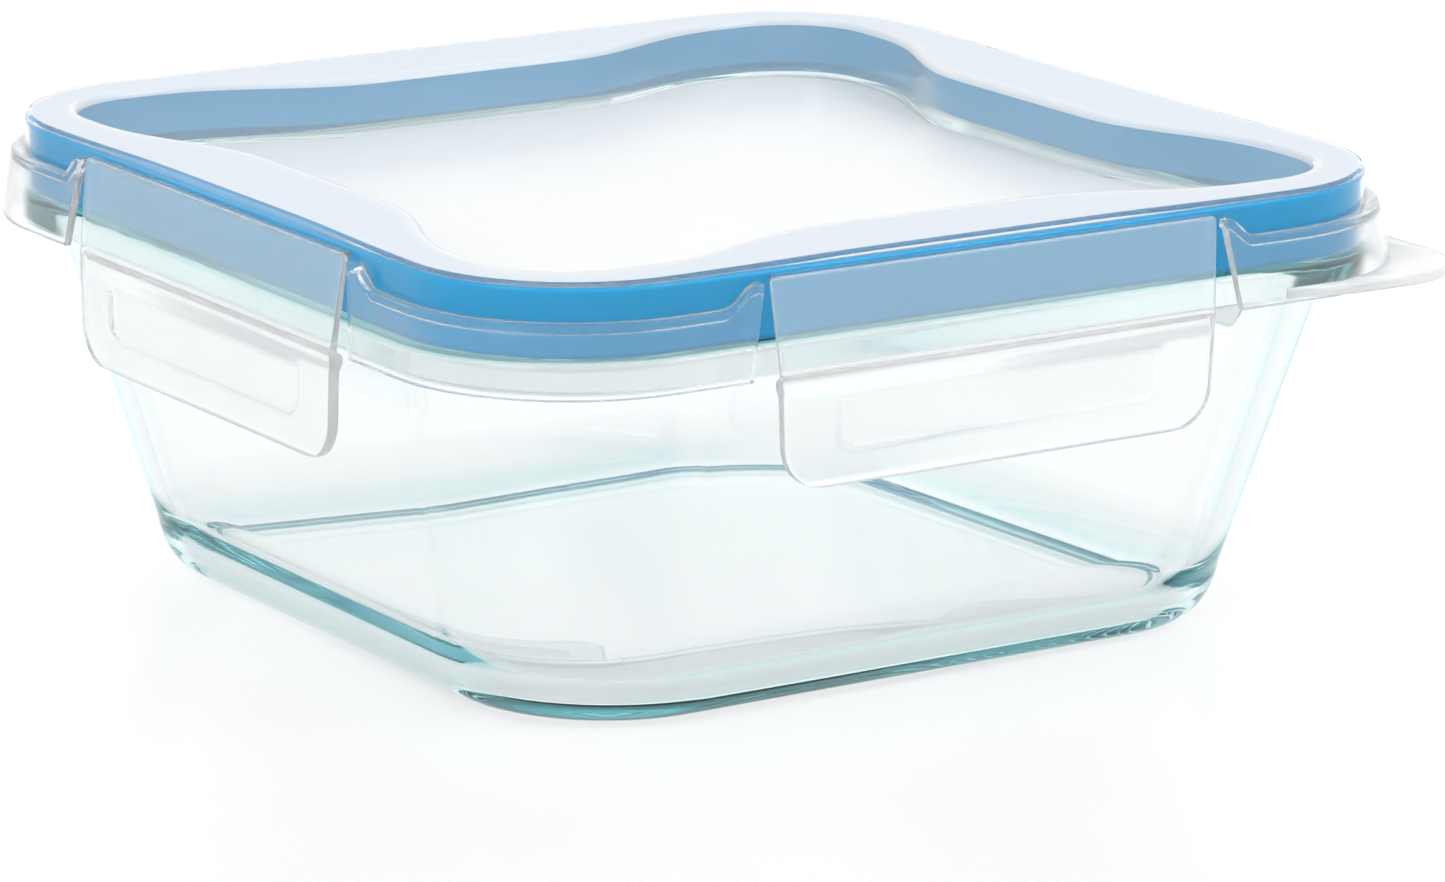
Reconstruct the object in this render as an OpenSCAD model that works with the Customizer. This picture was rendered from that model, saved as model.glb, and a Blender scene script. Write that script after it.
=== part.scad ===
// Square glass storage container with a latched plastic lid and a soft seal.
// Millimetres. Origin at the centre of the base on the table, +Z up, front latch on -Y.

/* [Dish] */
// Half-width of the outer wall just above the base
dish_low_half = 65.9; // [55:0.1:75]
// Half-width of the outer wall under the collar
dish_high_half = 77; // [66:1:78]
// Height where the collar starts
collar_bottom = 53.3; // [40:0.1:70]
// Height of the glass rim
rim_top = 58; // [45:0.5:75]
// Half-width of the collar band around the rim
collar_half = 79.9; // [78:0.1:81]
// Thickness of the glass wall
wall = 3.8; // [2.5:0.1:6]
// Thickness of the glass base
base_thick = 2.9; // [2.5:0.1:8]

/* [Lid] */
// Half-width of the lid ridge
ridge_half = 79.3; // [77:0.1:80]
// Corner radius of the lid ridge
ridge_radius = 26; // [20:0.5:30]
// Height of the top of the ridge
ridge_top = 69; // [66:0.5:72]
// Thickness of the plastic walls
skin = 1.2; // [0.8:0.1:2]
// Half-width of the recess at the corners
recess_half = 70.5; // [68:0.5:72]
// How far the recess wall waves inward at the middle of each side
wave = 9.5; // [0:0.5:12]
// Height of the recess floor
recess_floor = 59.9; // [59:0.1:64]

/* [Latches] */
// Height of the hinge line
hinge_z = 67.1; // [65:0.1:68]
// Distance of the hinge line from the centre
hinge_half = 80.1; // [79.5:0.1:81]
// Half-length of a latch at the hinge
latch_half = 38; // [30:0.5:39]
// Height of the bottom edge of a latch
latch_bottom = 37; // [34:0.5:45]

/* [Hidden] */
eps = 0.01;
arc_steps = 9;
side_steps = 16;
seal_half = ridge_half - skin - 0.03;
seal_radius = ridge_radius - skin - 0.03;
skirt_low_half = 82.3;
ledge_top = 63.6;
glass_color = [0.72, 0.88, 0.9, 0.45];
plastic_color = [0.92, 0.95, 0.97, 0.6];
seal_color = [0.02, 0.47, 0.78];

// Smooth step from 0 to 1.
function ease(x) = let (c = max(0, min(1, x))) c * c * c * (c * (c * 6 - 15) + 10);

// Turns a point of the front side into side k.
function turn(p, k) = k == 0 ? p : k == 1 ? [-p[1], p[0]] : k == 2 ? [-p[0], -p[1]] : [p[1], -p[0]];

// One quarter of a rounded square: the front side, then the arc of the corner after it.
function quarter(d, r, w, ns, k) = concat(
    [for (i = [0 : ns - 1])
        let (t = (2 * i / ns - 1) * (d - r))
        turn([t, -(d - w * (1 - ease((abs(t) - 14) / 40)))], k)],
    [for (i = [0 : arc_steps - 1])
        let (a = -90 + 90 * i / arc_steps)
        turn([d - r + r * cos(a), -(d - r) + r * sin(a)], k)]);

// Ring [half, radius, z, wave] as a list of points.
function ring(s, ns) = [for (k = [0 : 3]) for (p = quarter(s[0], s[1], s[3], ns, k)) [p[0], p[1], s[2]]];

// Solid skinned over a list of rings, closed with a flat cap at each end.
module skinned(rings, ns) {
    n = 4 * (ns + arc_steps);
    m = len(rings);
    points = concat([for (s = rings) for (p = ring(s, ns)) p],
                    [[0, 0, rings[0][2]], [0, 0, rings[m - 1][2]]]);
    walls = [for (j = [0 : m - 2]) for (i = [0 : n - 1])
        let (a = j * n + i, b = j * n + (i + 1) % n)
        each [[a, a + n, b], [b, a + n, b + n]]];
    first = [for (i = [0 : n - 1]) [i, (i + 1) % n, m * n]];
    last = [for (i = [0 : n - 1]) [(m - 1) * n + (i + 1) % n, (m - 1) * n + i, m * n + 1]];
    polyhedron(points = points, faces = concat(walls, first, last), convexity = 10);
}

// Flat rounded square.
module rounded(d, r) {
    square([2 * d, 2 * (d - r)], center = true);
    square([2 * (d - r), 2 * d], center = true);
    for (x = [-1, 1], y = [-1, 1]) translate([x * (d - r), y * (d - r)]) circle(r = r, $fn = 96);
}

// Flat outline of the recess, waving inward along each side, grown by g.
module waved(g) {
    polygon([for (k = [0 : 3]) for (p = quarter(recess_half + g, 14 + g, wave, side_steps, k)) p]);
}

// The glass: base, flared wall, collar and rim in one closed skin, outside first.
module glass_dish() {
    color(glass_color) skinned([
        [56.2, 19.2, 0.5, 0],
        [57.2, 20, 0, 0],
        [59, 21.3, 0, 0],
        [61.5, 23.7, 0.53, 0],
        [63.4, 25.7, 2.13, 0],
        [64.9, 27.2, 4.78, 0],
        [dish_low_half, 28.2, 8.5, 0],
        [dish_high_half, 31, collar_bottom, 0],
        [collar_half - 0.3, 27.3, collar_bottom, 0],
        [collar_half, 27.5, collar_bottom + 0.4, 0],
        [collar_half, 27.5, rim_top - 1.4, 0],
        [collar_half - 0.45, 27.1, rim_top - 0.5, 0],
        [collar_half - 1.4, 26.4, rim_top, 0],
        [dish_high_half - 2, 26.6, rim_top, 0],
        [dish_high_half - 3, 26.3, rim_top - 0.5, 0],
        [dish_high_half - wall + 0.3, 26.3, rim_top - 1.6, 0],
        [dish_low_half + 1.8 - wall, 24.9, 14, 0],
        [62.3, 24.1, base_thick + 6.2, 0],
        [60.1, 22.3, base_thick + 2.8, 0],
        [57.3, 20, base_thick + 0.7, 0],
        [54, 17, base_thick, 0]
    ], 2);
}

// Cross-section of a corner skirt and its ledge, measured outward from the ridge.
module skirt_section() {
    polygon([
        [-0.4, ledge_top], [1.3, ledge_top], [1.8, ledge_top - 0.5], [3, collar_bottom],
        [3 - skin, collar_bottom], [0.65, ledge_top - 1.6], [-0.4, ledge_top - 1.6]
    ]);
}

// Thin skirt with its ledge round one corner: an arc and two straight ends cut on a slant beside the latches.
module corner_skirt() {
    c = ridge_half - ridge_radius;
    difference() {
        union() {
            translate([c, -c, 0]) rotate([0, 0, -90]) rotate_extrude(angle = 90, $fn = 96)
                translate([ridge_radius, 0]) skirt_section();
            translate([39.5, -ridge_half, 0]) rotate([90, 0, 90]) mirror([1, 0, 0])
                linear_extrude(c - 39.5) skirt_section();
            translate([ridge_half, -39.5, 0]) rotate([90, 0, 0]) linear_extrude(c - 39.5) skirt_section();
            rotate([90, 0, 0]) translate([0, 0, ridge_half - 0.4]) linear_extrude(1.7) ledge_end();
            mirror([1, 1, 0]) rotate([90, 0, 0]) translate([0, 0, ridge_half - 0.4]) linear_extrude(1.7)
                ledge_end();
        }
        rotate([90, 0, 0]) translate([0, 0, 70]) linear_extrude(20) slant();
        mirror([1, 1, 0]) rotate([90, 0, 0]) translate([0, 0, 70]) linear_extrude(20) slant();
    }
}

// Small web where the ledge sweeps up to the hinge line.
module ledge_end() {
    polygon([[39.5, 66.7], [40.3, 66.4], [41.8, 65], [43.4, 63.9], [45.4, ledge_top],
             [45, ledge_top - 0.8], [39.5, ledge_top - 0.8]]);
}

// Wedge that cuts the end of a skirt on a slant.
module slant() {
    polygon([[30, ledge_top - 1], [39.5, ledge_top - 1], [42, collar_bottom - 1], [30, collar_bottom - 1]]);
}

// Flat lifting tab that squares off one corner of the skirt.
module corner_tab() {
    outer = concat(
        [[50, -81.7], [54, -82.6], [57, -83.9], [60, -84.6]],
        [for (i = [0 : 8]) let (a = -90 + 90 * i / 8) [71.6 + 13 * cos(a), -71.6 + 13 * sin(a)]],
        [[84.6, -60], [83.9, -57], [82.6, -54], [81.7, -50]]);
    inner = [for (i = [0 : 10]) let (a = -9 * i) [53.3 + 28.3 * cos(a), -53.3 + 28.3 * sin(a)]];
    translate([0, 0, 54]) linear_extrude(1.5) polygon(concat(outer, inner));
}

// Lid: hollow ridge, wavy recess wall, floor and raised panel, with the corner skirts and the tab.
module lid_shell() {
    color(plastic_color) union() {
        difference() {
            translate([0, 0, 58.5]) linear_extrude(ridge_top - 58.5) rounded(ridge_half, ridge_radius);
            translate([0, 0, recess_floor]) linear_extrude(20) waved(0);
            translate([0, 0, 50]) linear_extrude(ridge_top - 1.45 - 50) difference() {
                rounded(ridge_half - skin, ridge_radius - skin);
                waved(skin);
            }
        }
        translate([0, 0, recess_floor - 0.5]) linear_extrude(1) rounded(60, 20);
        for (k = [0 : 3]) rotate([0, 0, 90 * k]) corner_skirt();
        corner_tab();
    }
}

// Soft seal in the channel under the ridge, with a foot that sits over the glass rim.
module seal_ring() {
    color(seal_color) union() {
        translate([0, 0, 60]) linear_extrude(7.5) difference() {
            rounded(seal_half, seal_radius);
            waved(skin + 0.15);
        }
        translate([0, 0, 58.35]) linear_extrude(2) difference() {
            rounded(seal_half, seal_radius);
            rounded(73.9, 18.9);
        }
    }
}

// One latch, on the front side: a hinged plate with a finger lip and a catch rib behind it.
module latch() {
    low = latch_bottom;
    half = latch_half;
    profile = [
        [79.78, hinge_z - 0.2], [80.0, hinge_z + 0.15], [80.35, hinge_z + 0.15], [80.65, hinge_z - 0.3],
        [82.2, 54], [82.4, 52.8], [82.4, low + 0.4], [82.1, low], [81.0, low], [80.7, low + 0.4],
        [80.7, 50.3], [80.05, 51.6], [80.05, 52.6], [80.35, 52.95], [81.1, 53.0], [81.05, 55]
    ];
    outline = concat(
        [[-half, hinge_z + 1], [-half, hinge_z - 1], [-half + 0.9, 54], [-half + 1.4, low + 6.5]],
        [for (i = [1 : 7]) let (a = 180 + 90 * i / 8) [-half + 7.9 + 6.5 * cos(a), low + 6.5 + 6.5 * sin(a)]],
        [[-half + 7.9, low - eps], [half - 7.9, low - eps]],
        [for (i = [1 : 7]) let (a = 270 + 90 * i / 8) [half - 7.9 + 6.5 * cos(a), low + 6.5 + 6.5 * sin(a)]],
        [[half - 1.4, low + 6.5], [half - 0.9, 54], [half, hinge_z - 1], [half, hinge_z + 1]]);
    color(plastic_color) difference() {
        intersection() {
            rotate([90, 0, -90]) translate([0, 0, -half]) linear_extrude(2 * half) polygon(profile);
            rotate([90, 0, 0]) linear_extrude(100) polygon(outline);
        }
        window();
    }
}

// Blind window in the outer face of a latch, with rounded lower corners.
module window() {
    translate([0, -81.5, 0]) rotate([90, 0, 0]) linear_extrude(5) union() {
        translate([-28.8, 45.3]) square([57.6, 5.3]);
        translate([-24.8, 41.3]) square([49.6, 5]);
        translate([-24.8, 45.3]) circle(r = 4, $fn = 48);
        translate([24.8, 45.3]) circle(r = 4, $fn = 48);
    }
}

// Thin living hinge between the ridge and the top of a latch, on the front side.
module film() {
    color(plastic_color) translate([-latch_half, -79.72, hinge_z - 0.55])
        cube([2 * latch_half, 79.72 - ridge_half, 1]);
}

module front_latch() {
    latch();
}
module back_latch() {
    rotate([0, 0, 180]) latch();
}
module left_latch() {
    rotate([0, 0, -90]) latch();
}
module right_latch() {
    rotate([0, 0, 90]) latch();
}
module front_hinge() {
    film();
}
module back_hinge() {
    rotate([0, 0, 180]) film();
}
module left_hinge() {
    rotate([0, 0, -90]) film();
}
module right_hinge() {
    rotate([0, 0, 90]) film();
}

glass_dish();
lid_shell();
seal_ring();
front_latch();
back_latch();
left_latch();
right_latch();
front_hinge();
back_hinge();
left_hinge();
right_hinge();
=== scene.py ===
import math

import bmesh
import bpy
from mathutils import Matrix, Vector


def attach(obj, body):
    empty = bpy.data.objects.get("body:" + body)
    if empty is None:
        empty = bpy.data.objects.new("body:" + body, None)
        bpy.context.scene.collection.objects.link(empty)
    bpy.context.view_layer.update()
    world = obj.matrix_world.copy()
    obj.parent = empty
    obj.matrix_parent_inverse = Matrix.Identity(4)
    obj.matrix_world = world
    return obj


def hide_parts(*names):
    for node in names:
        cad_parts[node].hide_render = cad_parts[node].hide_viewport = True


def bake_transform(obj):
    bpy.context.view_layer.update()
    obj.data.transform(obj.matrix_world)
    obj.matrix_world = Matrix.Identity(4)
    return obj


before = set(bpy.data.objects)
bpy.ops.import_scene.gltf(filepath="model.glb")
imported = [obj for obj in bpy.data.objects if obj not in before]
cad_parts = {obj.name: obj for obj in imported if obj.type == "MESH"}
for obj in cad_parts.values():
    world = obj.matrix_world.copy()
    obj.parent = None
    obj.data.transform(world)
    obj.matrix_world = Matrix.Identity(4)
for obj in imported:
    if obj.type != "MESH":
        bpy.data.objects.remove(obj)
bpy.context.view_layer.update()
MM = 0.001
scene = bpy.context.scene


# ---------------------------------------------------------------- sizes of the object, in mm
DISH_COLLAR_LOW, DISH_RIM = 53.3, 58
DISH_COLLAR_HALF = 79.9
LID_TOP = 69
RIDGE_LOW = 58.5
RIDGE_OUTER_HALF, RIDGE_INNER_HALF = 79.3, 70.4
RIDGE_WAVE = 9.5  # how far the inner side of the ridge waves inward at the middle of each side
CHANNEL_CEILING = 68.3
CHANNEL_OUTER_HALF, CHANNEL_INNER_HALF = 78.8, 71.7
RECESS_FLOOR = 59.9
PANEL_RISE = 0.5
SEAL_LOW, SEAL_LEG_TOP, SEAL_TOP = 58.4, 61.3, 68.15
SEAL_INNER_HALF, SEAL_LEG_HALF, SEAL_OUTER_HALF = 71.95, 74.0, 78.7
SKIRT_START = 39.5  # distance of a skirt's end from the middle of a side
SKIRT_LEDGE, SKIRT_END_RISE = 63.6, 3.1
LATCH_TOP, LATCH_LOW = 67.2, 37.0
LATCH_HALF_WIDTH, LATCH_CORNER = 37.0, 6.5
WINDOW_HALF_WIDTH, WINDOW_LOW, WINDOW_TOP, WINDOW_CORNER = 28.8, 41.3, 50.8, 4.2
WINDOW_DEPTH, WINDOW_DRAFT = 0.55, 2.2
FILM_HALF_WIDTH = 37.6
FILM_HEIGHT = 67.1
SIDES = ("front", "right", "back", "left")  # each is the one before, turned by a quarter about the upright axis

# ---------------------------------------------------------------- camera
YAW, PITCH, ROLL = 0.5808, 0.2508, 0.0081
FOCAL_LENGTH = 167.56
CAMERA_PLACE = Vector((-533.54, -823.71, 273.17)) * MM

forward = Vector((math.sin(YAW) * math.cos(PITCH), math.cos(YAW) * math.cos(PITCH), -math.sin(PITCH)))
level_right = Vector((math.cos(YAW), -math.sin(YAW), 0))
level_up = level_right.cross(forward)
right = level_right * math.cos(ROLL) + level_up * math.sin(ROLL)
up = -level_right * math.sin(ROLL) + level_up * math.cos(ROLL)
cam_data = bpy.data.cameras.new("camera")
cam_data.sensor_width = 36
cam_data.lens = FOCAL_LENGTH
cam_data.clip_start = 0.01
cam_data.clip_end = 50
cam = bpy.data.objects.new("camera", cam_data)
scene.collection.objects.link(cam)
place = Matrix((right, up, -forward)).transposed().to_4x4()
place.translation = CAMERA_PLACE
cam.matrix_world = place
scene.camera = cam


# ---------------------------------------------------------------- materials
class Nodes:
    """Short way to build a node material."""

    def __init__(self, name):
        self.m = bpy.data.materials.new(name)
        self.m.use_nodes = True
        self.t = self.m.node_tree
        self.t.nodes.clear()
        self.out = self.t.nodes.new("ShaderNodeOutputMaterial")

    def add(self, kind, **values):
        n = self.t.nodes.new(kind)
        for k, v in values.items():
            if k[0] == "_":
                n.inputs[k[1:].replace("_", " ")].default_value = v
            else:
                setattr(n, k, v)
        return n

    def link(self, a, out, b, into):
        self.t.links.new(a.outputs[out], b.inputs[into])

    def noise(self, scale, detail=3.0, rough=0.5):
        where = self.add("ShaderNodeTexCoord")
        n = self.add("ShaderNodeTexNoise", _Scale=scale, _Detail=detail, _Roughness=rough)
        self.link(where, "Object", n, "Vector")
        return n

    def spread(self, source, out, low, high, a=0.3, b=0.7):
        """Maps an output from the range a..b to the range low..high."""
        r = self.add("ShaderNodeMapRange")
        r.inputs["From Min"].default_value = a
        r.inputs["From Max"].default_value = b
        r.inputs["To Min"].default_value = low
        r.inputs["To Max"].default_value = high
        self.link(source, out, r, "Value")
        return r

    def math(self, operation, *sources):
        n = self.add("ShaderNodeMath", operation=operation)
        for i, (node, out) in enumerate(sources):
            self.link(node, out, n, i)
        return n

    def bump(self, source, out, strength, distance):
        b = self.add("ShaderNodeBump", _Strength=strength, _Distance=distance)
        self.link(source, out, b, "Height")
        return b


def glass_material():
    k = Nodes("clear_glass")
    p = k.add("ShaderNodeBsdfPrincipled")
    p.inputs["Transmission Weight"].default_value = 1
    p.inputs["IOR"].default_value = 1.5
    where = k.add("ShaderNodeTexCoord")
    # Soda-lime glass looks greener where a wall is seen edge-on.
    rim = k.add("ShaderNodeLayerWeight", _Blend=0.5)
    grazing = k.spread(rim, "Facing", 0.0, 1.0, 0.7, 1.0)
    grazing.interpolation_type = "SMOOTHSTEP"
    tilt = k.add("ShaderNodeSeparateXYZ")
    k.link(where, "Normal", tilt, "Vector")
    upright = k.spread(k.math("ABSOLUTE", (tilt, "Z")), "Value", 1.0, 0.0, 0.35, 0.75)
    wall = k.math("MULTIPLY", (grazing, "Result"), (upright, "Result"))
    # So does the thick lower edge of the dish.
    place = k.add("ShaderNodeSeparateXYZ")
    k.link(where, "Object", place, "Vector")
    across = k.math("ABSOLUTE", (place, "X"))
    along = k.math("ABSOLUTE", (place, "Y"))
    reach = k.math("MAXIMUM", (across, "Value"), (along, "Value"))
    outside = k.spread(reach, "Value", 0.0, 0.3, 0.0605, 0.0635)
    low = k.spread(place, "Z", 1.0, 0.0, 0.002, 0.0065)
    edge = k.math("MULTIPLY", (outside, "Result"), (low, "Result"))
    green = k.math("MAXIMUM", (wall, "Value"), (edge, "Value"))
    tint = k.add("ShaderNodeMix", data_type="RGBA")
    tint.inputs["A"].default_value = (1, 1, 1, 1)
    tint.inputs["B"].default_value = (0.0, 0.85, 0.88, 1)
    k.link(green, "Value", tint, "Factor")
    k.link(tint, "Result", p, "Base Color")
    n = k.noise(18, 2)
    k.link(k.spread(n, "Fac", 0.0, 0.02), "Result", p, "Roughness")
    waves = k.noise(22, 1.5)
    k.link(k.bump(waves, "Fac", 0.25, 0.00025), "Normal", p, "Normal")
    k.link(p, "BSDF", k.out, "Surface")
    v = k.add("ShaderNodeVolumeAbsorption")
    v.inputs["Color"].default_value = (0.06, 0.82, 0.84, 1)
    v.inputs["Density"].default_value = 8
    k.link(v, "Volume", k.out, "Volume")
    return k.m


def plastic_material(name, color, transmission, roughness, grain=400, gloss=0.5, ior=1.45):
    """Clear to frosted plastic with a slight change of tint and roughness and a fine surface grain."""
    k = Nodes(name)
    p = k.add("ShaderNodeBsdfPrincipled")
    p.inputs["Specular IOR Level"].default_value = gloss
    p.inputs["Transmission Weight"].default_value = transmission
    p.inputs["IOR"].default_value = ior
    n = k.noise(60, 3)
    tint = k.add("ShaderNodeMix", data_type="RGBA")
    red, green, blue = color
    tint.inputs["A"].default_value = (red, green, blue, 1)
    tint.inputs["B"].default_value = (red * 0.97, green * 0.98, blue * 0.985, 1)
    k.link(n, "Fac", tint, "Factor")
    k.link(tint, "Result", p, "Base Color")
    k.link(k.spread(n, "Fac", *roughness), "Result", p, "Roughness")
    fine = k.noise(grain, 3, 0.6)
    k.link(k.bump(fine, "Fac", 0.3, 0.00001), "Normal", p, "Normal")
    # Lamps shine through the thin skin, so that what lies under it is lit.
    path = k.add("ShaderNodeLightPath")
    thin = k.add("ShaderNodeBsdfTransparent")
    thin.inputs["Color"].default_value = (0.9, 0.92, 0.93, 1)
    mix = k.add("ShaderNodeMixShader")
    k.link(path, "Is Shadow Ray", mix, 0)
    k.link(p, "BSDF", mix, 1)
    k.link(thin, "BSDF", mix, 2)
    k.link(mix, "Shader", k.out, "Surface")
    return k.m


def seal_material():
    k = Nodes("blue_silicone")
    p = k.add("ShaderNodeBsdfPrincipled")
    p.inputs["Specular IOR Level"].default_value = 0.06
    n = k.noise(35, 3)
    tint = k.add("ShaderNodeMix", data_type="RGBA")
    tint.inputs["A"].default_value = (0.0, 0.29, 0.56, 1)
    tint.inputs["B"].default_value = (0.0, 0.32, 0.61, 1)
    k.link(n, "Fac", tint, "Factor")
    k.link(tint, "Result", p, "Base Color")
    k.link(k.spread(n, "Fac", 0.38, 0.5), "Result", p, "Roughness")
    fine = k.noise(900, 2)
    k.link(k.bump(fine, "Fac", 0.25, 0.00005), "Normal", p, "Normal")
    k.link(p, "BSDF", k.out, "Surface")
    return k.m


GLASS = glass_material()
CLEAR = plastic_material("lid_clear_plastic", (0.97, 0.99, 1.0), 0.99, (0.03, 0.06), grain=300, gloss=0.1, ior=1.22)
TOP = plastic_material("lid_top_plastic", (0.99, 0.995, 1.0), 0.35, (0.14, 0.2))
WALL = plastic_material("lid_wall_plastic", (0.95, 1.0, 1.0), 0.85, (0.08, 0.13), gloss=0.3)
FLOOR = plastic_material("lid_floor_plastic", (1.0, 1.0, 1.0), 0.4, (0.2, 0.26), grain=300)
SKIRT = plastic_material("skirt_frosted_plastic", (0.98, 0.99, 0.99), 0.965, (0.12, 0.18), gloss=0.25, ior=1.32)
OVER = plastic_material("latch_root_plastic", (0.95, 1.0, 1.0), 0.88, (0.14, 0.2), gloss=0.25, ior=1.32)
FROST = plastic_material("latch_frosted_plastic", (0.98, 0.98, 0.98), 0.8, (0.14, 0.2), gloss=0.3, ior=1.32)
PANE = plastic_material("latch_window_plastic", (1.0, 1.0, 1.0), 0.5, (0.14, 0.2), gloss=0.3, ior=1.32)
TAB = plastic_material("tab_plastic", (1.0, 1.0, 1.0), 0.6, (0.16, 0.22), gloss=0.3, ior=1.35)
SEAL = seal_material()


# ---------------------------------------------------------------- mesh helpers
def ease(x):
    """Soft step from 0 to 1."""
    x = max(0.0, min(1.0, x))
    return x * x * x * (x * (x * 6 - 15) + 10)


def placed(x, y, z, turns):
    """The point (x, y, z), given in mm, after a number of quarter turns about the upright axis."""
    for _ in range(turns):
        x, y = -y, x
    return (x * MM, y * MM, z * MM)


def ring(d, r, z, wave, ns, na):
    """Rounded square of half-size d and corner radius r at height z, pulled in by wave at mid-side.

    It has ns points along each side and na round each corner."""
    pts = []
    c = d - r
    for k in range(4):
        quarter = []
        for i in range(ns):
            t = (2 * i / ns - 1) * c
            quarter.append((t, -(d - wave * (1 - ease((abs(t) - 14) / 40)))))
        for i in range(na):
            a = math.radians(-90 + 90 * i / na)
            quarter.append((c + r * math.cos(a), -c + r * math.sin(a)))
        pts += [placed(x, y, z, k) for x, y in quarter]
    return pts


def rounded_profile(knots, closed=False, steps=5):
    """Polyline through knots (d, r, z, wave, fillet, slot), each corner rounded over its fillet length."""
    out = []
    n = len(knots)
    for i, knot in enumerate(knots):
        p = Vector(knot[:4])
        f, slot = knot[4:]
        if (not closed and i in (0, n - 1)) or f <= 0:
            out.append((tuple(p), slot))
            continue
        a = Vector(knots[i - 1][:4])
        b = Vector(knots[(i + 1) % n][:4])
        la = math.hypot(a[0] - p[0], a[2] - p[2])
        lb = math.hypot(b[0] - p[0], b[2] - p[2])
        fa = min(f, la * 0.48) / max(la, 1e-9)
        fb = min(f, lb * 0.48) / max(lb, 1e-9)
        pa = p.lerp(a, fa)
        pb = p.lerp(b, fb)
        for s in range(steps + 1):
            u = s / steps
            q = pa.lerp(p, u).lerp(p.lerp(pb, u), u)
            out.append((tuple(q), slot))
    return out


def mesh_object(name, verts, faces, mats, slots, body, replaces=()):
    me = bpy.data.meshes.new(name)
    me.from_pydata(verts, [], faces)
    for m in mats:
        me.materials.append(m)
    me.polygons.foreach_set("material_index", slots)
    me.polygons.foreach_set("use_smooth", [True] * len(faces))
    me.validate()
    b = bmesh.new()
    b.from_mesh(me)
    bmesh.ops.recalc_face_normals(b, faces=b.faces)
    b.to_mesh(me)
    b.free()
    me.update()
    ob = bpy.data.objects.new(name, me)
    scene.collection.objects.link(ob)
    w = ob.modifiers.new("weighted", "WEIGHTED_NORMAL")
    w.weight = 80
    w.keep_sharp = True
    if body:
        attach(ob, body)
    for node in replaces:
        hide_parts(node)
    return ob


def loft(name, profile, ns, na, mats, body, replaces=(), closed=False):
    """Skin over rings; open profiles are closed by a flat cap at each end."""
    rings = [ring(q[0], q[1], q[2], q[3], ns, na) for q, _ in profile]
    n = 4 * (ns + na)
    m = len(rings)
    verts = [p for r in rings for p in r]
    faces, slots = [], []
    for j in range(m if closed else m - 1):
        jn = (j + 1) % m
        for i in range(n):
            i2 = (i + 1) % n
            faces.append((j * n + i, j * n + i2, jn * n + i2, jn * n + i))
            slots.append(profile[j][1])
    if not closed:
        for j, flip in ((0, True), (m - 1, False)):
            verts.append((0, 0, rings[j][0][2]))
            c = len(verts) - 1
            for i in range(n):
                i2 = (i + 1) % n
                f = (j * n + i2, j * n + i, c) if flip else (j * n + i, j * n + i2, c)
                faces.append(f)
                slots.append(profile[j][1])
    return mesh_object(name, verts, faces, mats, slots, body, replaces)


def swept_faces(stations, n):
    """Faces round a closed section of n points that is repeated at each station, with a cap at both ends."""
    faces = []
    for j in range(stations - 1):
        for i in range(n):
            i2 = (i + 1) % n
            faces.append((j * n + i, (j + 1) * n + i, (j + 1) * n + i2, j * n + i2))
    faces.append(tuple(range(n)))
    faces.append(tuple(stations * n - 1 - i for i in range(n)))
    return faces


# ---------------------------------------------------------------- glass dish
# Each knot below is (half-size, corner radius, height, wave, fillet, material).
def bend(a, p, b, n):
    """Knots along the curve from a to b that leaves and arrives in the direction of p."""
    a, p, b = Vector(a), Vector(p), Vector(b)
    return [tuple(a.lerp(p, i / n).lerp(p.lerp(b, i / n), i / n)) + (0, 0, 0) for i in range(n + 1)]


dish_knots = [(30, 8, 0.5, 0, 0, 0), (56.2, 19.2, 0.5, 0, 0.5, 0), (57.2, 20, 0.0, 0, 0.2, 0)]
dish_knots += bend((59, 21.3, 0.0), (64.4, 26.7, 0.0), (65.9, 28.2, 8.5), 12)
dish_knots += [
    (77.0, 31, DISH_COLLAR_LOW, 0, 0.4, 0),
    (DISH_COLLAR_HALF, 27.5, DISH_COLLAR_LOW, 0, 0.35, 0),
    (DISH_COLLAR_HALF, 27.5, DISH_RIM, 0, 1.5, 0),
    (73.6, 26.4, DISH_RIM, 0, 1.5, 0),
]
dish_knots += bend((63.9, 24.9, 14.0), (61.2, 23.4, 2.9), (54, 17, 2.9), 14)
loft("glass_dish_body", rounded_profile(dish_knots, steps=6), 14, 16, [GLASS], "dish", ["glass_dish"])

# ---------------------------------------------------------------- lid shell
lid_knots = [
    (40, 12, RECESS_FLOOR + PANEL_RISE, 0, 0, 3),
    (59.4, 19.4, RECESS_FLOOR + PANEL_RISE, 0, 0.4, 3),
    (60.2, 20, RECESS_FLOOR, 0, 0.4, 3),
    (69.6, 13.4, RECESS_FLOOR, RIDGE_WAVE, 1.2, 2),
    (RIDGE_INNER_HALF, 14, LID_TOP, RIDGE_WAVE, 1.1, 1),
    (RIDGE_OUTER_HALF, 26, LID_TOP, 0, 1.0, 0),
    (RIDGE_OUTER_HALF, 26, RIDGE_LOW, 0, 0.3, 0),
    (CHANNEL_OUTER_HALF, 25.5, RIDGE_LOW, 0, 0.2, 0),
    (CHANNEL_OUTER_HALF, 25.5, CHANNEL_CEILING, 0, 0.8, 0),
    (CHANNEL_INNER_HALF, 15.2, CHANNEL_CEILING, RIDGE_WAVE, 0.5, 2),
    (70.9, 14.6, RIDGE_LOW, RIDGE_WAVE, 0.6, 3),
    (40, 12, RIDGE_LOW, 0, 0, 3),
]
loft("lid_ridge_and_panel", rounded_profile(lid_knots), 40, 16, [CLEAR, TOP, WALL, FLOOR], "lid",
     ["lid_shell"])

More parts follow.
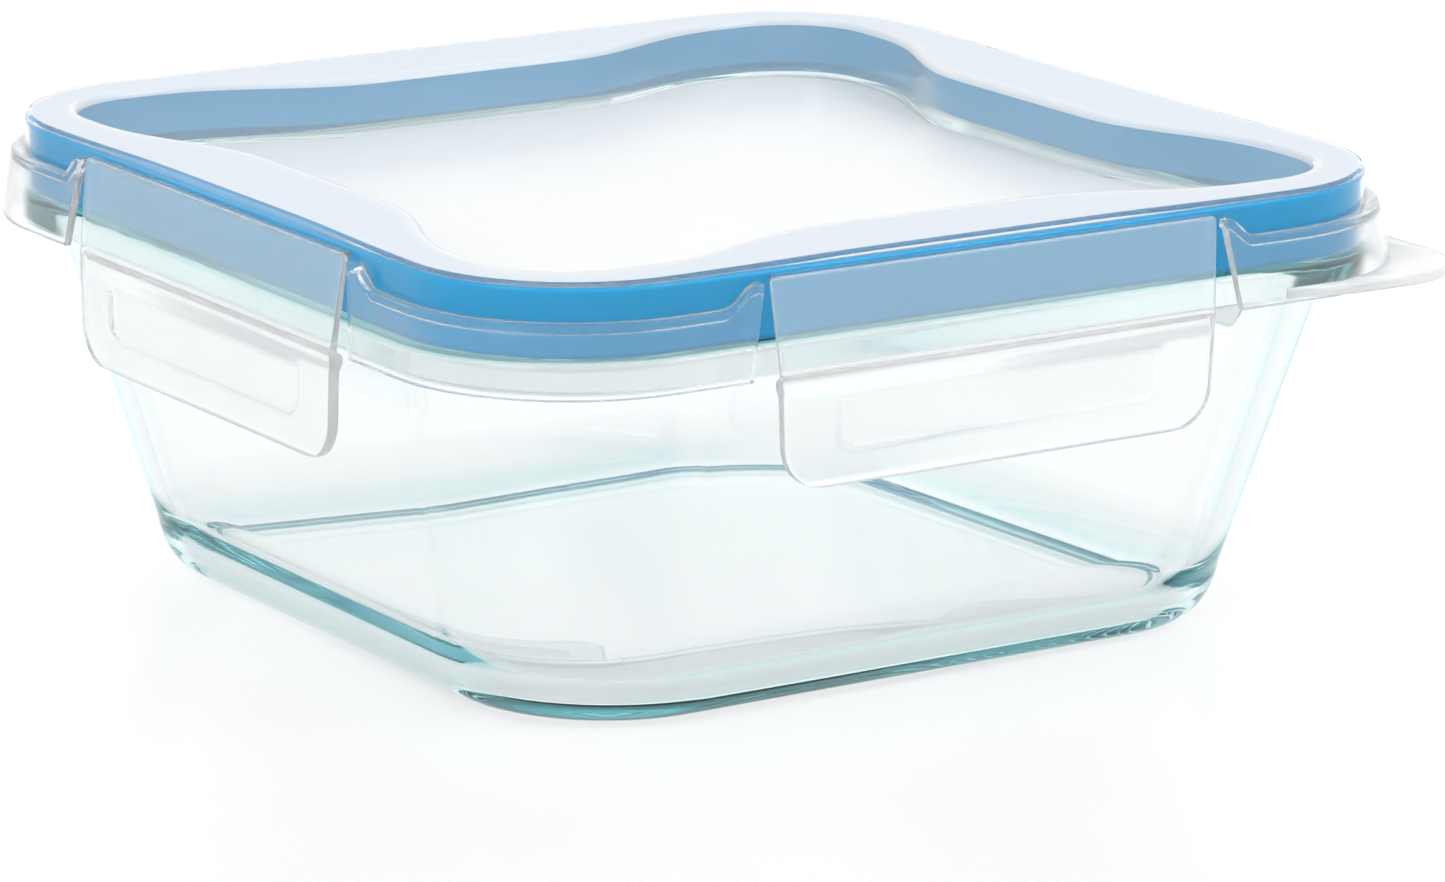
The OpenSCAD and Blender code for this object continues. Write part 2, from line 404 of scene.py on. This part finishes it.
# ---------------------------------------------------------------- seal
seal_knots = [
    (SEAL_INNER_HALF, 15.4, SEAL_LEG_TOP, RIDGE_WAVE, 0.6, 0),
    (SEAL_LEG_HALF, 19.2, SEAL_LEG_TOP, 0, 0.5, 0),
    (SEAL_LEG_HALF, 19.2, SEAL_LOW, 0, 0.8, 0),
    (SEAL_OUTER_HALF, 25.4, SEAL_LOW, 0, 0.8, 0),
    (SEAL_OUTER_HALF, 25.4, SEAL_TOP, 0, 0.9, 0),
    (SEAL_INNER_HALF, 15.4, SEAL_TOP, RIDGE_WAVE, 0.6, 0),
]
loft("seal_ring_blue", rounded_profile(seal_knots, closed=True), 40, 16, [SEAL], "lid", ["seal_ring"],
     closed=True)


# ---------------------------------------------------------------- corner skirts
def skirt(name, turns, low_r):
    """Thin skirt with its ledge round one corner, sweeping up to the hinge line beside each latch.

    low_r is the corner radius of its lower edge."""
    # u runs from 0 to 1 along one side, to 2 round the corner and to 3 along the other side.
    first_side = [0.45 * (i / 14) for i in range(15)] + [0.6, 0.8]
    stations = first_side + [1 + i / 24 for i in range(25)] + [3 - u for u in reversed(first_side)]
    verts = []
    for u in stations:
        e = min(1.0, u, 3 - u)
        h = SKIRT_LEDGE + SKIRT_END_RISE * (1 - ease(e / 0.42))
        knots = [
            (79.15, 25.9, h, 0, 0, 0),
            (81.05, 26.8, h, 0, 0.45, 0),
            (82.3, low_r, DISH_COLLAR_LOW, 0, 0.3, 0),
            (81.1, low_r - 1.1, DISH_COLLAR_LOW, 0, 0.3, 0),
            (79.95, 26.0, h - 1.5, 0, 0.5, 0),
            (79.15, 25.9, h - 1.5, 0, 0, 0),
        ]
        for (d, r, z, _), _slot in rounded_profile(knots, steps=4):
            start = SKIRT_START + max(0.0, SKIRT_LEDGE - z) * 0.24
            if u <= 1:
                x, y = start + (d - r - start) * u, -d
            elif u >= 2:
                x, y = d, -(start + (d - r - start) * (3 - u))
            else:
                a = math.radians(-90 + 90 * (u - 1))
                x, y = d - r + r * math.cos(a), -(d - r) + r * math.sin(a)
            verts.append(placed(x, y, z, turns))
    faces = swept_faces(len(stations), len(verts) // len(stations))
    ob = mesh_object(name, verts, faces, [SKIRT], [0] * len(faces), "lid", ["lid_shell"])
    ob.data.polygons[-1].use_smooth = False
    ob.data.polygons[-2].use_smooth = False
    return ob


# The skirt beside the tab has a slightly sharper lower corner.
skirt("corner_skirt_front_right", 0, 25.2)
skirt("corner_skirt_back_right", 1, 27.5)
skirt("corner_skirt_back_left", 2, 27.5)
skirt("corner_skirt_front_left", 3, 27.5)


# ---------------------------------------------------------------- lifting tab
def tab():
    """Rounded tab at the front right corner: a flat plate from the skirt out to a curved edge."""
    edge = [(50, -81.9), (52.5, -82.35), (55, -83.2), (57.5, -84.1), (60, -84.6)]
    c, r = 71.6, 13
    outer = list(edge)
    for i in range(21):
        a = math.radians(-90 + 90 * i / 20)
        outer.append((c + r * math.cos(a), -c + r * math.sin(a)))
    outer += [(-y, -x) for x, y in reversed(edge)]
    n = len(outer)
    inner = []
    c, r = 56.7, 25.0
    for i in range(n):
        a = math.radians(-90 * (n - 1 - i) / (n - 1))
        inner.append((c + r * math.cos(a), -c + r * math.sin(a)))
    inner[0], inner[-1] = (50, -81.7), (81.7, -50)
    verts = []
    section = [(0, 54.0), (0.85, 54.0), (1, 54.25), (1, 55.25), (0.85, 55.5), (0, 55.5)]
    for i in range(n):
        o, q = Vector(outer[i]), Vector(inner[i])
        for f, z in section:
            if f == 0.85:  # the edge is rounded over 0.3 mm, however wide the tab is here
                f = max(0.5, 1 - 0.3 / max((o - q).length, 0.6))
            p = q.lerp(o, f)
            verts.append(placed(p.x, p.y, z, 0))
    faces = swept_faces(n, len(section))
    return mesh_object("lifting_tab", verts, faces, [TAB], [0] * len(faces), "lid", ["lid_shell"])


tab()


# ---------------------------------------------------------------- latches
def steps_between(values, fine):
    """The values, with more of them in between so that no step is longer than fine."""
    out = [values[0]]
    for a, b in zip(values, values[1:]):
        n = max(1, math.ceil(abs(b - a) / fine - 1e-6))
        out += [a + (b - a) * (i + 1) / n for i in range(n)]
    return out


def lerp_table(table, z):
    """The value at height z in a table of (height, value) from the top down."""
    if z >= table[0][0]:
        return table[0][1]
    for (z0, a), (z1, b) in zip(table, table[1:]):
        if z >= z1:
            return b + (a - b) * (z - z1) / (z0 - z1)
    return table[-1][1]


# Distance of a latch's outer and inner face from the middle of the object, and its half width, at each height.
# The inner face has the catch rib, which hooks under the collar of the dish.
OUTER = [(LATCH_TOP, 80.35), (67.0, 80.55), (66.6, 80.72), (54.3, 82.15), (53.6, 82.28), (52.8, 82.4), (37.8, 82.4),
         (37.3, 82.3), (LATCH_LOW, 82.0)]
INNER = [(LATCH_TOP, 80.0), (67.0, 79.85), (66.6, 79.8), (55.0, 81.05), (53.3, 81.13), (52.95, 80.6), (52.5, 80.15),
         (51.6, 80.15), (50.3, 80.7), (37.8, 80.7), (37.3, 80.8), (LATCH_LOW, 81.1)]
HALF = [(LATCH_TOP, 37.6), (67.0, 37.9), (66.5, 38), (54, 37.1), (43.5, 36.6)]
LATCH_HEIGHTS = steps_between([LATCH_TOP, 67.0, 66.6, 55.0, 54.3, 53.6, 53.3, 52.95, 52.5, 51.6, 50.8, 48.8, 43.8,
                               41.2, 37.8, 37.3, LATCH_LOW], 0.6)
OVER_LOW = 54.5  # above it the latch lies over the ridge, and is clearer


def window_depth(t, z):
    """Depth of the blind window at (t, z): drafted walls, rounded lower corners, sharp upper ones."""
    x = abs(t)
    corner_x, corner_z = WINDOW_HALF_WIDTH - WINDOW_CORNER, WINDOW_LOW + WINDOW_CORNER
    if z < corner_z and x > corner_x:
        inside = WINDOW_CORNER - math.hypot(x - corner_x, z - corner_z)
    else:
        inside = min(WINDOW_HALF_WIDTH - x, z - WINDOW_LOW)
    inside = min(inside, WINDOW_TOP - z)
    return WINDOW_DEPTH * ease(inside / WINDOW_DRAFT) if inside > 0 else 0.0


def latch_half_width(z):
    half = lerp_table(HALF, z)
    drop = 43.5 - z
    if drop > 0:
        half = half - LATCH_CORNER + math.sqrt(max(0.0, LATCH_CORNER ** 2 - drop ** 2)) - drop * 0.01
    return half


def latch(name, turns, body, node):
    """Plate with an outer and an inner face, joined all round by a rim."""
    zs = LATCH_HEIGHTS
    right_half = [t / LATCH_HALF_WIDTH for t in steps_between([0, 24, 29.2, 35.4, 36.4, 36.8, LATCH_HALF_WIDTH], 1.0)]
    ts = [-t for t in reversed(right_half[1:])] + right_half
    nz, nt = len(zs), len(ts)
    verts, faces, slots = [], [], []
    for table, sign in ((OUTER, -1), (INNER, 1)):
        for z in zs:
            half = latch_half_width(z)
            for s in ts:
                t = s * half
                d = lerp_table(table, z)
                edge = half - abs(t)
                if edge < 0.4:  # the side edges are rounded
                    d += sign * 0.22 * (1 - edge / 0.4) ** 2
                if table is OUTER:
                    d -= window_depth(t, z)
                verts.append(placed(t, -d, z, turns))
    base = nz * nt
    for j in range(nz - 1):
        half = latch_half_width(zs[j])
        for i in range(nt - 1):
            a, b, c, d = j * nt + i, (j + 1) * nt + i, (j + 1) * nt + i + 1, j * nt + i + 1
            faces.append((a, b, c, d))
            faces.append((base + d, base + c, base + b, base + a))
            z, t = (zs[j] + zs[j + 1]) / 2, (ts[i] + ts[i + 1]) / 2 * half
            slots += [1 if z > OVER_LOW else 2 if window_depth(t, z) > 0.3 else 0] * 2
    rim = []
    for i in range(nt - 1):
        rim += [(i, i + 1), (base - nt + i + 1, base - nt + i)]
    for j in range(nz - 1):
        rim += [((j + 1) * nt, j * nt), (j * nt + nt - 1, (j + 1) * nt + nt - 1)]
    faces += [(a, b, base + b, base + a) for a, b in rim]
    slots += [0] * len(rim)
    return mesh_object(name, verts, faces, [FROST, OVER, PANE], slots, body, [node])


for quarter, side in enumerate(SIDES):
    latch(f"latch_plate_{side}", quarter, f"latch_{side}", f"{side}_latch")


# ---------------------------------------------------------------- living hinges
def film(name, turns, node):
    """Thin strip from the ridge wall into the top of a latch."""
    section = [(79.25, 67.45), (79.7, 67.5), (80.1, 67.42), (80.35, 67.25), (80.3, 66.95), (80.05, 66.85),
               (79.7, 66.8), (79.25, 66.75)]
    n = 24
    verts = []
    for i in range(n + 1):
        t = -FILM_HALF_WIDTH + 2 * FILM_HALF_WIDTH * i / n
        verts += [placed(t, -d, z, turns) for d, z in section]
    faces = swept_faces(n + 1, len(section))
    ob = mesh_object(name, verts, faces, [CLEAR], [0] * len(faces), None)
    a, b = Vector((0, -79.35, FILM_HEIGHT)) * MM, Vector((0, -80.2, FILM_HEIGHT)) * MM
    for _ in range(turns):
        a, b = Vector((-a.y, a.x, a.z)), Vector((-b.y, b.x, b.z))
    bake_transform(ob)
    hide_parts(node)
    return ob


for quarter, side in enumerate(SIDES):
    film(f"living_hinge_{side}", quarter, f"{side}_hinge")


# ---------------------------------------------------------------- floor and light
def floor():
    """A pale floor that shines a little, so that it stays plain and light behind and through the glass."""
    k = Nodes("pale_floor")
    p = k.add("ShaderNodeBsdfPrincipled")
    p.inputs["Base Color"].default_value = (0.3, 0.3, 0.3, 1)
    p.inputs["Roughness"].default_value = 0.22
    p.inputs["Emission Color"].default_value = (1, 1, 1, 1)
    p.inputs["Emission Strength"].default_value = 0.6
    p.inputs["Specular IOR Level"].default_value = 0.5
    k.link(p, "BSDF", k.out, "Surface")
    me = bpy.data.meshes.new("floor")
    half = 6.0
    me.from_pydata([(-half, -half, 0), (half, -half, 0), (half, half, 0), (-half, half, 0)], [], [(0, 1, 2, 3)])
    me.materials.append(k.m)
    ob = bpy.data.objects.new("floor", me)
    ob.location.z = -0.0002  # just clear of the foot of the dish
    scene.collection.objects.link(ob)


floor()


def area(name, where, size, size_y, power):
    """Rectangular lamp that is aimed at the middle of the object's lower half."""
    aim = (0, 0, 0.03)
    d = bpy.data.lights.new(name, "AREA")
    d.shape = "RECTANGLE"
    d.size = size
    d.size_y = size_y
    d.energy = power
    o = bpy.data.objects.new(name, d)
    o.location = where
    o.rotation_euler = (Vector(aim) - Vector(where)).to_track_quat("-Z", "Y").to_euler()
    scene.collection.objects.link(o)
    return o


area("softbox_left", (-1.0, -0.35, 0.75), 0.5, 0.9, 4)
area("softbox_right", (0.75, -0.95, 0.95), 0.6, 0.6, 5)


def studio():
    """White behind and above the object, darker on the near side so that glass and plastic show their edges."""
    world = bpy.data.worlds.new("studio")
    scene.world = world
    world.use_nodes = True
    t = world.node_tree
    bg = t.nodes["Background"]
    where = t.nodes.new("ShaderNodeTexCoord")

    def along(direction, a, b, low, high):
        """Brightness that goes from low to high as the share of a direction goes from a to b."""
        dot = t.nodes.new("ShaderNodeVectorMath")
        dot.operation = "DOT_PRODUCT"
        dot.inputs[1].default_value = direction
        t.links.new(where.outputs["Generated"], dot.inputs[0])
        r = t.nodes.new("ShaderNodeMapRange")
        r.interpolation_type = "SMOOTHSTEP"
        for key, v in (("From Min", a), ("From Max", b), ("To Min", low), ("To Max", high)):
            r.inputs[key].default_value = v
        t.links.new(dot.outputs["Value"], r.inputs["Value"])
        return r

    far = along((math.sin(YAW), math.cos(YAW), 0), 0.5, 0.95, 0.62, 0.98)
    high = along((0, 0, 1), 0.22, 0.68, 0.0, 0.98)
    top = t.nodes.new("ShaderNodeMath")
    top.operation = "MAXIMUM"
    t.links.new(far.outputs["Result"], top.inputs[0])
    t.links.new(high.outputs["Result"], top.inputs[1])
    path = t.nodes.new("ShaderNodeLightPath")
    mix = t.nodes.new("ShaderNodeMix")
    t.links.new(path.outputs["Is Camera Ray"], mix.inputs["Factor"])
    t.links.new(top.outputs["Value"], mix.inputs["A"])
    mix.inputs["B"].default_value = 1.0
    t.links.new(mix.outputs["Result"], bg.inputs["Strength"])
    bg.inputs["Color"].default_value = (1, 1, 1, 1)


studio()
# Light passes many surfaces of glass and plastic; with fewer bounces the base of the dish turns black.
BOUNCES = 48
scene.cycles.max_bounces = BOUNCES
scene.cycles.transmission_bounces = BOUNCES
scene.cycles.glossy_bounces = BOUNCES
scene.cycles.transparent_max_bounces = 16
scene.view_settings.view_transform = "Standard"
scene.view_settings.look = "None"
